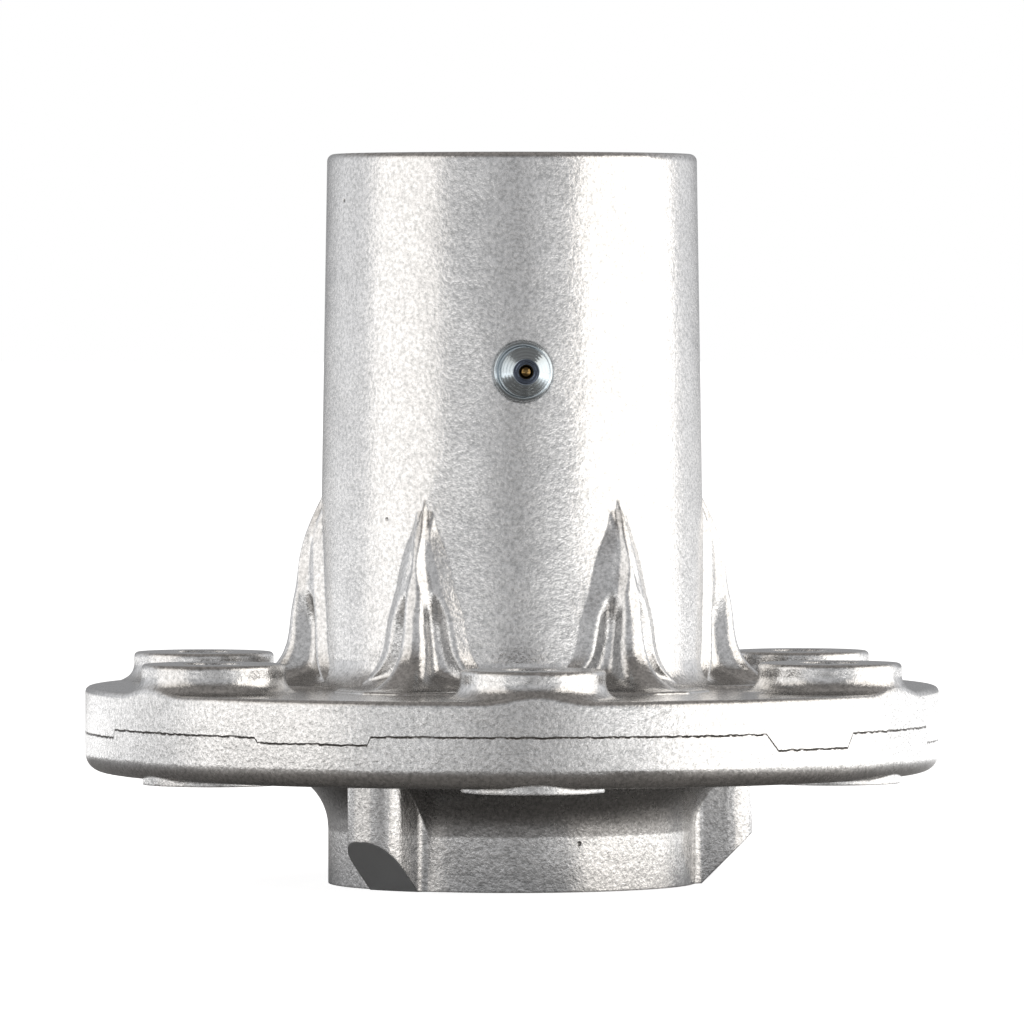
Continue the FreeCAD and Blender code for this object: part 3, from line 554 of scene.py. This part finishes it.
@dataclass(frozen=True)
class WorkedMetal:
    """Turned, ground, drawn or plated metal with fine marks round the axis.

    Args:
        name: the material's name.
        colour: its tone.
        roughness: mean roughness.
        mark_mm: spacing of the tool marks.
        mark_depth_mm: how deep they are.
        rough_span: what the marks make of the roughness, at least and at most.
        stain_per_mm: patches of stain in a millimetre.
        stain_span: what the stain makes of the tone, at least and at most.
    """

    name: str
    colour: str
    roughness: float
    mark_mm: float = 0.3
    mark_depth_mm: float = 0.004
    rough_span: tuple[float, float] = (0.8, 1.25)
    stain_per_mm: float = 0.35
    stain_span: tuple[float, float] = (0.9, 1.05)

    def surface(self, tree: Tree, metric: Socket, colour: Socket, marks: Socket) -> tuple[Socket, Socket]:
        """Finish the colour and the height of the surface; plain metal leaves both as they are.

        Args:
            tree: the material's node tree.
            metric: object coordinates in millimetres.
            colour: the metal's stained colour.
            marks: noise of the tool marks.

        Returns:
            The sockets that carry the colour and the height.
        """
        return colour, marks

    def material(self) -> bpy.types.Material:
        """Build the metal's material.

        Returns:
            The finished material.
        """
        material, tree = new_material(self.name)
        place = add_node(tree, "TexCoord").outputs["Object"]
        metric = add_node(tree, "VectorMath", {0: place, "Scale": 1 / MM}, operation="SCALE").outputs[0]
        marks = add_node(
            tree, "TexNoise", {"Vector": metric, "Scale": 1 / self.mark_mm, "Detail": 4.0, "Roughness": 0.6}
        ).outputs[0]
        stain = add_node(
            tree, "TexNoise", {"Vector": metric, "Scale": self.stain_per_mm, "Detail": 3.0}
        ).outputs[0]
        rough = add_node(
            tree,
            "MapRange",
            {
                "Value": marks,
                "From Min": NOISE_LOW,
                "From Max": NOISE_HIGH,
                "To Min": self.roughness * self.rough_span[0],
                "To Max": self.roughness * self.rough_span[1],
            },
        ).outputs[0]
        tone = add_node(
            tree,
            "MapRange",
            {
                "Value": stain,
                "From Min": NOISE_LOW,
                "From Max": NOISE_HIGH,
                "To Min": self.stain_span[0],
                "To Max": self.stain_span[1],
            },
        ).outputs[0]
        colour = add_node(
            tree, "VectorMath", {0: linear(self.colour)[:3], "Scale": tone}, operation="SCALE"
        ).outputs[0]
        colour, height = self.surface(tree, metric, colour, marks)
        bump = add_node(
            tree, "Bump", {"Strength": 1.0, "Distance": self.mark_depth_mm * MM, "Height": height}
        ).outputs[0]
        shader = add_node(
            tree,
            "BsdfPrincipled",
            {"Base Color": colour, "Metallic": 1.0, "Roughness": rough, "Normal": bump},
        )
        add_node(tree, "OutputMaterial", {"Surface": shader.outputs[0]})
        return material


@dataclass(frozen=True)
class TurnedZinc(WorkedMetal):
    """Zinc plated steel turned about the nipple's axis, with a painted dark reflection on the nose.

    Args:
        axis_mm: height of the nipple's axis.
        ring_mm: spacing of the turned rings.
        ring_share: height of a ring against that of the tool marks.
        nose_mm: radius of the nose.
        nose_soft_mm: how far the edge of the painted reflection on the nose fades to either side.
        nose: tone of the painted reflection on the nose, the dark round the camera that its flat face
            mirrors.
    """

    axis_mm: float = 70.5
    ring_mm: float = 0.42
    ring_share: float = 1.8
    nose_mm: float = 1.75
    nose_soft_mm: float = 0.1
    # painted reflection: the nose's dark tone stands in for the dark round the camera that the flat nose
    # mirrors
    nose: str = "#4b515c"

    def surface(self, tree: Tree, metric: Socket, colour: Socket, marks: Socket) -> tuple[Socket, Socket]:
        """Add the rings that a lathe tool leaves, and paint the dark reflection on the nose.

        Args:
            tree: the material's node tree.
            metric: object coordinates in millimetres.
            colour: the metal's stained colour.
            marks: noise of the tool marks.

        Returns:
            The sockets that carry the colour and the height.
        """
        centred = add_node(
            tree, "VectorMath", {0: metric, 1: (0.0, 0.0, -self.axis_mm)}, operation="ADD"
        ).outputs[0]
        wave = add_node(
            tree,
            "TexWave",
            {
                "Vector": centred,
                "Scale": WAVE_SCALE / self.ring_mm,
                "Distortion": 0.6,
                "Detail": 2.0,
                "Detail Scale": 2.0,
            },
            wave_type="RINGS",
            rings_direction="Y",
        ).outputs["Fac"]
        height = add_node(
            tree, "Math", {0: wave, 1: self.ring_share, 2: marks}, operation="MULTIPLY_ADD"
        ).outputs[0]
        level = add_node(
            tree, "VectorMath", {0: centred, 1: (1.0, 0.0, 1.0)}, operation="MULTIPLY"
        ).outputs[0]
        off_axis = add_node(tree, "VectorMath", {0: level}, operation="LENGTH").outputs["Value"]
        # painted reflection: 1 on the flat nose, which is darkened to stand for the dark that it mirrors
        nose_painted_reflection = add_node(
            tree,
            "MapRange",
            {
                "Value": off_axis,
                "From Min": self.nose_mm - self.nose_soft_mm,
                "From Max": self.nose_mm + self.nose_soft_mm,
                "To Min": 1.0,
                "To Max": 0.0,
            },
        ).outputs[0]
        colour = add_node(
            tree, "Mix", {"Factor": nose_painted_reflection, "A": colour, "B": linear(self.nose)}, data_type="RGBA"
        ).outputs["Result"]
        return colour, height


@dataclass(frozen=True)
class MouldedRubber:
    """Nitrile rubber moulded over a steel disc: black, satin, with a slight bloom.

    Args:
        colour: tone of the rubber.
        bloom: tone of the bloom.
        roughness: the rubber's roughness.
        bloom_per_mm: patches of bloom in a millimetre.
        skin_per_mm: marks of the mould in a millimetre.
        skin_depth_mm: how deep those marks are.
    """

    colour: str = "#1d1d1f"
    bloom: str = "#2e2e30"
    roughness: float = 0.5
    bloom_per_mm: float = 0.5
    skin_per_mm: float = 6.0
    skin_depth_mm: float = 0.02

    def material(self) -> bpy.types.Material:
        """Build the rubber's material.

        Returns:
            The finished material.
        """
        material, tree = new_material("moulded_seal_rubber")
        place = add_node(tree, "TexCoord").outputs["Object"]
        metric = add_node(tree, "VectorMath", {0: place, "Scale": 1 / MM}, operation="SCALE").outputs[0]
        cloud, skin = (
            add_node(tree, "TexNoise", {"Vector": metric, "Scale": scale, "Detail": detail}).outputs[0]
            for scale, detail in ((self.bloom_per_mm, 4.0), (self.skin_per_mm, 2.0))
        )
        colour = add_node(
            tree,
            "Mix",
            {"Factor": cloud, "A": linear(self.colour), "B": linear(self.bloom)},
            data_type="RGBA",
        ).outputs["Result"]
        bump = add_node(
            tree, "Bump", {"Strength": 0.5, "Distance": self.skin_depth_mm * MM, "Height": skin}
        ).outputs[0]
        shader = add_node(
            tree,
            "BsdfPrincipled",
            {"Base Color": colour, "Roughness": self.roughness, "Normal": bump},
        )
        add_node(tree, "OutputMaterial", {"Surface": shader.outputs[0]})
        return material


@dataclass
class Housing:
    """The casting: tube, flange, neck, bosses, ribs, pads and lugs.

    Args:
        finish: the casting's finish.
    """

    finish: BlastedCasting = field(default_factory=BlastedCasting)

    def build(self) -> None:
        """Dress the casting."""
        dress("housing", self.finish.material())


@dataclass
class CheckSpring:
    """The coil behind the check ball; the real one shortens as the ball is pushed in, this one keeps one
    length.

    Args:
        wire_mm: radius of the wire.
        coil_mm: radius of the coil, to the middle of the wire.
        pitch_mm: rise of one turn.
        axis_mm: height of the nipple's axis.
        stroke_mm: how far the ball travels; not used.
        turn_steps: segments in one turn.
        wire_sides: segments round the wire.
        smooth_degrees: steepest edge that is shaded smooth.
        finish: the wire's finish.
    """

    wire_mm: float = 0.15
    coil_mm: float = 0.75
    pitch_mm: float = 0.8
    axis_mm: float = 70.5
    stroke_mm: float = 0.5
    turn_steps: int = 28
    wire_sides: int = 12
    smooth_degrees: float = 40.0
    finish: WorkedMetal = WorkedMetal("drawn_spring_steel", "#8f9195", 0.3)

    def coil(self, length: float) -> Object:
        """Screw the wire's section up round +Z from the origin.

        Args:
            length: rise of the wire's middle in metres.

        Returns:
            The coil, with both ends of the wire closed.
        """
        turns = length / (self.pitch_mm * MM)
        bpy.ops.object.select_all(action="DESELECT")
        bpy.ops.mesh.primitive_circle_add(vertices=self.wire_sides, radius=self.wire_mm * MM)
        spring = bpy.context.object
        spring.name = "check_spring_coil"
        bpy.ops.object.mode_set(mode="EDIT")
        bpy.ops.mesh.select_all(action="SELECT")
        bpy.ops.transform.rotate(value=math.pi / 2, orient_axis="X", center_override=(0.0, 0.0, 0.0))
        bpy.ops.transform.translate(value=(self.coil_mm * MM, 0.0, 0.0))
        bpy.ops.object.mode_set(mode="OBJECT")
        screw = spring.modifiers.new("turns", "SCREW")
        screw.angle = math.tau * turns
        screw.screw_offset = length
        screw.steps = screw.render_steps = round(self.turn_steps * turns)
        bpy.ops.object.modifier_apply(modifier=screw.name)
        bpy.ops.object.mode_set(mode="EDIT")
        bpy.ops.mesh.select_all(action="SELECT")
        bpy.ops.mesh.fill_holes(sides=self.wire_sides)
        bpy.ops.mesh.normals_make_consistent(inside=False)
        bpy.ops.object.mode_set(mode="OBJECT")
        return spring

    def build(self) -> None:
        """Lay the coil along the nipple's axis."""
        low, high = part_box("nipple_spring")
        length = high[1] - low[1]
        spring = self.coil(length - 2 * self.wire_mm * MM)
        bpy.ops.object.mode_set(mode="EDIT")
        bpy.ops.mesh.select_all(action="SELECT")
        bpy.ops.transform.rotate(value=-math.pi / 2, orient_axis="X", center_override=(0.0, 0.0, 0.0))
        bpy.ops.object.mode_set(mode="OBJECT")
        lows = [min(vertex.co[axis] for vertex in spring.data.vertices) for axis in range(3)]
        bpy.ops.object.mode_set(mode="EDIT")
        bpy.ops.transform.translate(value=(0.0, low[1] - lows[1], self.axis_mm * MM))
        bpy.ops.object.mode_set(mode="OBJECT")
        bpy.ops.object.shade_smooth_by_angle(angle=math.radians(self.smooth_degrees))
        spring.data.materials.append(self.finish.material())
        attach(spring, "housing_body")
        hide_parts("nipple_spring")
        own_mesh(spring)


@dataclass
class GreaseNipple:
    """The nipple's body, check ball and spring.

    Args:
        body: the body's finish.
        ball: the check ball's finish, brass darkened with painted shade.
        spring: the spring behind the ball.
    """

    body: TurnedZinc = TurnedZinc("bright_zinc_plated_steel", "#b3bcc1", 0.12, 0.25, 0.018)
    # brass tone, darkened with painted shade for the nipple's mouth, where the ball sits deep
    ball: WorkedMetal = WorkedMetal("brass_ball_painted_shade", "#7c6540", 0.05)
    spring: CheckSpring = field(default_factory=CheckSpring)

    def build(self) -> None:
        """Dress the body and the ball, and build the spring."""
        dress("nipple_body", self.body.material())
        dress("nipple_ball", self.ball.material())
        self.spring.build()


@dataclass
class Bearings:
    """Both ball bearings and the sleeve between them.

    Args:
        ring: finish of the rings.
        ball: finish of the balls.
        cage: finish of the cages and their rivets.
        sleeve: finish of the sleeve.
        rubber: finish of the seals.
    """

    ring: WorkedMetal = WorkedMetal("ground_bearing_steel", "#b4b6ba", 0.2, 0.2, 0.003)
    ball: WorkedMetal = WorkedMetal("polished_bearing_ball", "#c8cacd", 0.08, 0.2, 0.001)
    cage: WorkedMetal = WorkedMetal("pressed_cage_steel", "#a6a8ab", 0.35, 0.4, 0.005)
    sleeve: WorkedMetal = WorkedMetal("turned_sleeve_steel", "#8d9094", 0.34, 0.3, 0.01)
    rubber: MouldedRubber = field(default_factory=MouldedRubber)

    def build(self) -> None:
        """Dress every piece of both bearings and the sleeve."""
        finishes = {
            "outer_ring": self.ring.material(),
            "balls": self.ball.material(),
            "cage_top": self.cage.material(),
            "top_seal": self.rubber.material(),
        }
        finishes["inner_ring"] = finishes["outer_ring"]
        finishes["cage_bottom"] = finishes["cage_top"]
        finishes["cage_rivets"] = finishes["cage_top"]
        finishes["bottom_seal"] = finishes["top_seal"]
        for end in BearingEnd:
            for piece, material in finishes.items():
                dress(f"{end.value}_bearing_{piece}", material)
            log.info("dressed the %s bearing", end.value)
        dress("spacer_sleeve", self.sleeve.material())


@dataclass(frozen=True)
class Softbox:
    """A rectangular studio lamp that points at the object.

    Args:
        name: the lamp's name.
        place: its centre in metres.
        size: width and height in metres.
        power: watts.
    """

    name: str
    place: tuple[float, float, float]
    size: tuple[float, float]
    power: float

    def build(self, target: Vector, tone: str) -> None:
        """Add the lamp.

        Args:
            target: the point that it faces.
            tone: colour of its light.
        """
        data = bpy.data.lights.new(self.name, "AREA")
        data.shape = "RECTANGLE"
        data.size, data.size_y = self.size
        data.energy = self.power
        data.color = linear(tone)[:3]
        lamp = bpy.data.objects.new(self.name, data)
        lamp.location = self.place
        lamp.rotation_euler = (target - Vector(self.place)).to_track_quat("-Z", "Y").to_euler()
        bpy.context.scene.collection.objects.link(lamp)


@dataclass
class Studio:
    """Camera, lamps, floor and backdrop.

    Args:
        distance: metres from the spindle's axis to the camera.
        camera_height: height of the camera in metres.
        aim_height: height that the camera and the lamps face, in metres.
        turn_degrees: how far the camera stands to the left of the nipple.
        focal_mm: focal length.
        sensor_mm: width of the sensor.
        sight: nearest and furthest that the camera sees, in metres.
        white: colour of the backdrop to the camera.
        floor_reach: metres from the middle of the floor to its sides.
        floor: colour of the floor to the camera.
        floor_glow: light that the floor gives the camera.
        table: colour of the grey table that the metal mirrors.
        table_roughness: its roughness.
        middle_glow: glow of the table behind and in front of the object.
        left_glow: its glow at the left.
        right_glow: its glow at the right.
        left_turn: sine of the direction at which the left glow begins, and is full.
        right_turn: the same for the right glow.
        glow_shift: metres that the glow's middle lies to the left.
        glow_reach: metres from that middle at which the glow begins, and is full.
        glow_fall: metres from the object at which it begins to weaken and is weak, and its
            share there.
        backdrop_radiance: light of the room behind the object.
        room_radiance: light of the room in front of it.
        room_turn: Y of the direction where the front of the room ends, and the back begins.
        room: colour of the walls.
        ceiling: colour of the ceiling.
        ceiling_rise: Z of the direction where the ceiling begins, and is full.
        camera_stand: Y of the direction where the dark round the camera begins, and is full.
        camera_share: share of the light that is left there.
        far_end: the same for the dark at the room's far end.
        back_share: share of the light that is left there.
        lamp_tone: colour of the lamps' light.
        lamps: the lamps.
    """

    distance: float = 1.384
    camera_height: float = 0.0799
    aim_height: float = 0.0510
    turn_degrees: float = 3.3
    focal_mm: float = 353.7
    sensor_mm: float = 36.0
    sight: tuple[float, float] = (0.05, 20.0)
    white: str = "#ffffff"
    floor_reach: float = 12.0
    floor: str = "#e9e9ea"
    floor_glow: float = 0.86
    table: str = "#92908e"
    table_roughness: float = 0.3
    middle_glow: float = 0.3
    left_glow: float = 2.1
    right_glow: float = 2.1
    left_turn: tuple[float, float] = (-0.08, -0.5)
    right_turn: tuple[float, float] = (0.02, 0.42)
    glow_shift: float = 0.1
    glow_reach: tuple[float, float] = (0.15, 0.38)
    glow_fall: tuple[float, float, float] = (0.42, 0.8, 0.35)
    backdrop_radiance: float = 1.05
    room_radiance: float = 0.72
    room_turn: tuple[float, float] = (-0.75, 0.1)
    room: str = "#f7f8fb"
    ceiling: str = "#95918e"
    ceiling_rise: tuple[float, float] = (0.25, 0.7)
    camera_stand: tuple[float, float] = (-0.993, -0.9985)
    camera_share: float = 0.8
    far_end: tuple[float, float] = (0.7, 0.98)
    back_share: float = 0.35
    lamp_tone: str = "#fff8ef"
    lamps: tuple[Softbox, ...] = (
        Softbox("left_softbox", (-0.955, -0.29, 0.42), (1.05, 0.9), 2.1),
        Softbox("right_softbox", (1.02, -0.26, 0.42), (1.75, 0.9), 6.8),
    )

    def place_camera(self) -> None:
        """Put the camera where the photograph was taken from."""
        turn = math.radians(self.turn_degrees)
        place = Vector((-self.distance * math.sin(turn), -self.distance * math.cos(turn), self.camera_height))
        data = bpy.data.cameras.new("photo_camera")
        data.lens = self.focal_mm
        data.sensor_width = self.sensor_mm
        data.clip_start, data.clip_end = self.sight
        camera = bpy.data.objects.new("photo_camera", data)
        camera.location = place
        aim = Vector((0.0, 0.0, self.aim_height)) - place
        camera.rotation_euler = aim.to_track_quat("-Z", "Y").to_euler()
        bpy.context.scene.collection.objects.link(camera)
        bpy.context.scene.camera = camera

    def lay_floor(self) -> None:
        """Lay the pale floor, white to the camera and keeping the object's shadow.

        The metal mirrors it as a grey acrylic table, which mirrors the lamps and is lighter in a
        band to both sides of the object.
        """
        bpy.ops.object.select_all(action="DESELECT")
        bpy.ops.mesh.primitive_plane_add(size=self.floor_reach * 2, location=(0.0, 0.0, CAD_BOX[0][2]))
        plane = bpy.context.object
        plane.name = "floor"
        bpy.ops.object.transform_apply(location=True)
        material, tree = new_material("pale_floor")
        pale = add_node(tree, "BsdfDiffuse", {"Color": linear(self.floor)})
        glow = add_node(tree, "Emission", {"Color": linear(self.white), "Strength": self.floor_glow})
        shown = add_node(tree, "AddShader", {0: pale.outputs[0], 1: glow.outputs[0]})
        place = add_node(tree, "TexCoord").outputs["Object"]
        apart = add_node(tree, "SeparateXYZ", {0: place})
        away = add_node(tree, "VectorMath", {0: place}, operation="LENGTH").outputs["Value"]
        sine = add_node(tree, "Math", {0: apart.outputs[0], 1: away}, operation="DIVIDE").outputs[0]
        shifted = add_node(
            tree, "VectorMath", {0: place, 1: (self.glow_shift, 0.0, 0.0)}, operation="ADD"
        ).outputs[0]
        far = add_node(
            tree,
            "MapRange",
            {
                "Value": add_node(tree, "VectorMath", {0: shifted}, operation="LENGTH").outputs["Value"],
                "From Min": self.glow_reach[0],
                "From Max": self.glow_reach[1],
            },
            interpolation_type="SMOOTHSTEP",
        ).outputs[0]
        left, right = (
            add_node(
                tree,
                "MapRange",
                {
                    "Value": sine,
                    "From Min": turn[0],
                    "From Max": turn[1],
                    "To Min": self.middle_glow,
                    "To Max": glow,
                },
            ).outputs[0]
            for turn, glow in ((self.left_turn, self.left_glow), (self.right_turn, self.right_glow))
        )
        wide = add_node(tree, "Math", {0: left, 1: right}, operation="MAXIMUM").outputs[0]
        fall = add_node(
            tree,
            "MapRange",
            {
                "Value": away,
                "From Min": self.glow_fall[0],
                "From Max": self.glow_fall[1],
                "To Min": 1.0,
                "To Max": self.glow_fall[2],
            },
        ).outputs[0]
        band = add_node(tree, "Math", {0: far, 1: fall}, operation="MULTIPLY").outputs[0]
        lit = add_node(tree, "Math", {0: band, 1: wide}, operation="MULTIPLY").outputs[0]
        table = add_node(
            tree,
            "BsdfPrincipled",
            {
                "Base Color": linear(self.table),
                "Roughness": self.table_roughness,
                "Emission Color": linear(self.white),
                "Emission Strength": lit,
            },
        )
        path = add_node(tree, "LightPath")
        shader = add_node(
            tree, "MixShader", {0: path.outputs["Is Camera Ray"], 1: table.outputs[0], 2: shown.outputs[0]}
        )
        add_node(tree, "OutputMaterial", {"Surface": shader.outputs[0]})
        plane.data.materials.append(material)

    def light_room(self) -> None:
        """Light the room: bright sides, dimmer front, dark ceiling, camera stand and far end."""
        world = bpy.data.worlds.new("studio_room")
        world.use_nodes = True
        tree = world.node_tree
        tree.nodes.clear()
        facing = add_node(tree, "TexCoord").outputs["Generated"]
        apart = add_node(tree, "SeparateXYZ", {0: facing})
        radiance = add_node(
            tree,
            "MapRange",
            {
                "Value": apart.outputs[1],
                "From Min": self.room_turn[0],
                "From Max": self.room_turn[1],
                "To Min": self.room_radiance,
                "To Max": self.backdrop_radiance,
            },
        ).outputs[0]
        up = add_node(
            tree,
            "MapRange",
            {
                "Value": apart.outputs[2],
                "From Min": self.ceiling_rise[0],
                "From Max": self.ceiling_rise[1],
            },
        ).outputs[0]
        tone = add_node(
            tree,
            "Mix",
            {"Factor": up, "A": linear(self.room), "B": linear(self.ceiling)},
            data_type="RGBA",
        ).outputs["Result"]
        for turn, share in ((self.camera_stand, self.camera_share), (self.far_end, self.back_share)):
            shade = add_node(
                tree,
                "MapRange",
                {
                    "Value": apart.outputs[1],
                    "From Min": turn[0],
                    "From Max": turn[1],
                    "To Min": 1.0,
                    "To Max": share,
                },
            ).outputs[0]
            radiance = add_node(tree, "Math", {0: radiance, 1: shade}, operation="MULTIPLY").outputs[0]
        room = add_node(tree, "Background", {"Color": tone, "Strength": radiance})
        white = add_node(tree, "Background", {"Color": linear(self.white), "Strength": 1.0})
        path = add_node(tree, "LightPath")
        shader = add_node(
            tree, "MixShader", {0: path.outputs["Is Camera Ray"], 1: room.outputs[0], 2: white.outputs[0]}
        )
        add_node(tree, "OutputWorld", {"Surface": shader.outputs[0]})
        bpy.context.scene.world = world

    def build(self) -> None:
        """Set up the whole studio."""
        scene = bpy.context.scene
        scene.view_settings.view_transform = "Standard"
        self.place_camera()
        self.lay_floor()
        self.light_room()
        target = Vector((0.0, 0.0, self.aim_height))
        for lamp in self.lamps:
            lamp.build(target, self.lamp_tone)


def main() -> None:
    """Build the sub-assemblies and the studio in order."""
    logging.basicConfig(level=logging.INFO, format="%(name)s: %(message)s")
    for part in (Housing(), GreaseNipple(), Bearings(), Studio()):
        part.build()
        log.info("built %s", type(part).__name__)


if __name__ == "__main__":
    main()
